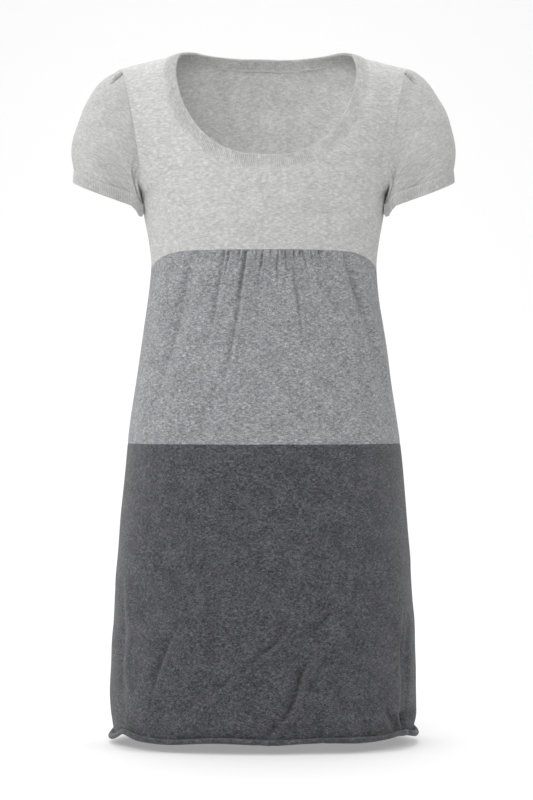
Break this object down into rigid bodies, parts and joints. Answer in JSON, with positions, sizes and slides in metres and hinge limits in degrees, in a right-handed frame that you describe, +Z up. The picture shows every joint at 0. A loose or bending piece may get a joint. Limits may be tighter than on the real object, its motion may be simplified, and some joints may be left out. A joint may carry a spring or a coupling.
{
  "type": "jumper dress",
  "caption": "Pull-on knitted jumper dress with a wide scoop neck, puffed short sleeves, gathered empire tier and rolled-hem skirt, filled out as it is when worn.",
  "frame": {"origin": "where the wearer's shoulders carry the dress: on its centre plane, level with the neck ends of the shoulder seams and midway between them", "axes": "+Z up towards the shoulders, -Y out of the front, +X towards the wearer's left sleeve"},
  "size_m": [0.4898, 0.2519, 0.872],
  "materials": {
    "light_grey_knit": "matt fine-gauge knit, light grey melange",
    "light_grey_rib": "matt ribbed knit, light grey melange",
    "mid_grey_knit": "matt fine-gauge knit, mid grey melange",
    "dark_grey_knit": "matt fine-gauge knit, dark grey melange"
  },
  "bodies": {
    "root": {"bodice_front": "light_grey_knit", "bodice_back": "light_grey_knit", "sleeve_left": "light_grey_knit", "sleeve_right": "light_grey_knit", "neckband": "light_grey_rib", "cuff_left": "light_grey_rib", "cuff_right": "light_grey_rib", "midriff_front": "mid_grey_knit", "midriff_back": "mid_grey_knit", "skirt_front": "dark_grey_knit", "skirt_back": "dark_grey_knit"}
  },
  "joints": []
}
